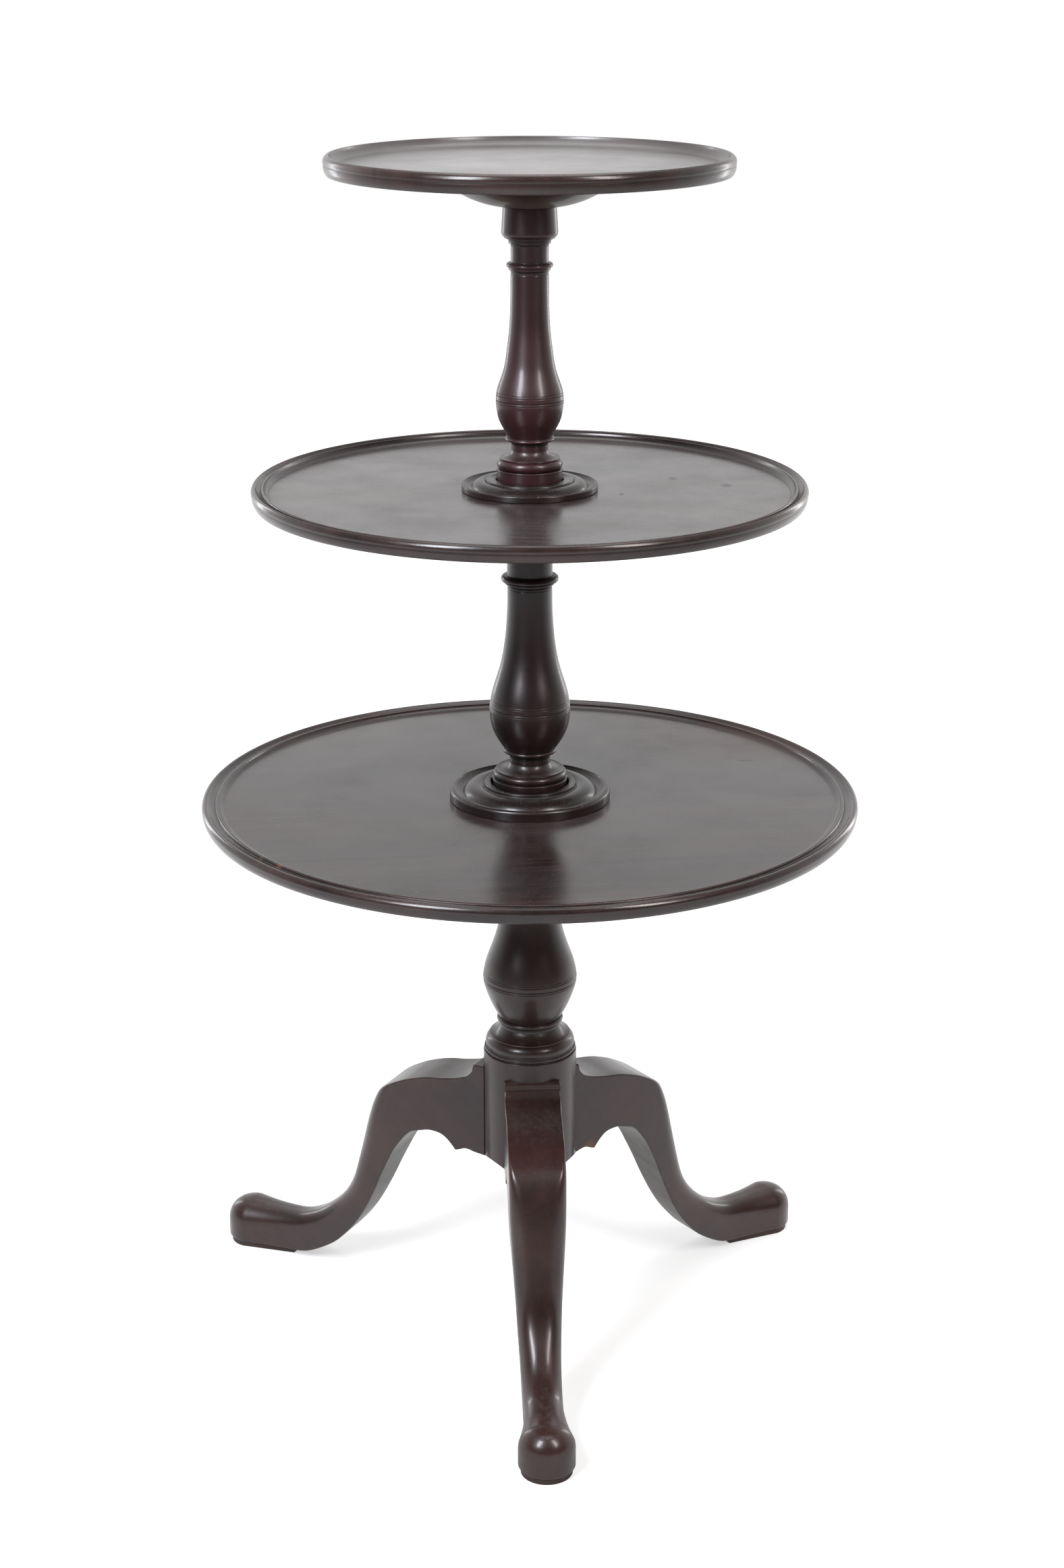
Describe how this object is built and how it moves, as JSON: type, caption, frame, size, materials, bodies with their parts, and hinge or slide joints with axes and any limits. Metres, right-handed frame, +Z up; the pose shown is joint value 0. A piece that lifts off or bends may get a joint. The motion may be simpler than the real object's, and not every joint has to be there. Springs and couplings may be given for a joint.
{
  "type": "three-tier dumbwaiter table",
  "caption": "Dumbwaiter table with round dished revolving trays of rising size from top to bottom, on a turned baluster pillar and a tripod of cabriole legs with pad feet",
  "frame": {"origin": "on the floor, on the pillar's axis", "axes": "+Z up along the pillar; the front leg points to -Y; +X is to the right seen from the front"},
  "size_m": [0.6203, 0.6228, 1.127],
  "materials": {
    "pillar_mahogany": "dark red-brown mahogany, french polished, satin",
    "leg_mahogany": "dark red-brown mahogany, french polished, satin",
    "tray_mahogany": "dark red-brown mahogany, waxed, worn and hazy on the flat fields",
    "pad_wood": "dark bare hardwood, rubbed at the floor",
    "brace_iron": "forged iron, dark oxide",
    "screw_iron": "iron wood screws, dark oxide"
  },
  "bodies": {
    "pillar": {"base_column": "pillar_mahogany", "lower_column": "pillar_mahogany", "upper_column": "pillar_mahogany", "front_leg": "leg_mahogany", "right_leg": "leg_mahogany", "left_leg": "leg_mahogany", "front_foot_pad": "pad_wood", "right_foot_pad": "pad_wood", "left_foot_pad": "pad_wood", "leg_brace_plate": "brace_iron", "leg_brace_screws": "screw_iron"},
    "top_turntable": {"top_tray": "tray_mahogany", "top_tray_boss": "tray_mahogany", "top_boss_screws": "screw_iron"},
    "middle_turntable": {"middle_tray": "tray_mahogany", "middle_collar": "tray_mahogany", "middle_tray_boss": "tray_mahogany", "middle_boss_screws": "screw_iron"},
    "lower_turntable": {"lower_tray": "tray_mahogany", "lower_collar": "tray_mahogany", "lower_tray_boss": "tray_mahogany", "lower_boss_screws": "screw_iron"}
  },
  "joints": [
    {"name": "top_tray_turn", "type": "hinge", "parent": "pillar", "child": "top_turntable", "pos_m": [0, 0, 1.083], "axis": [0, 0, 1], "continuous": true},
    {"name": "middle_tray_turn", "type": "hinge", "parent": "pillar", "child": "middle_turntable", "pos_m": [0, 0, 0.8035], "axis": [0, 0, 1], "continuous": true},
    {"name": "lower_tray_turn", "type": "hinge", "parent": "pillar", "child": "lower_turntable", "pos_m": [0, 0, 0.5095], "axis": [0, 0, 1], "continuous": true}
  ]
}
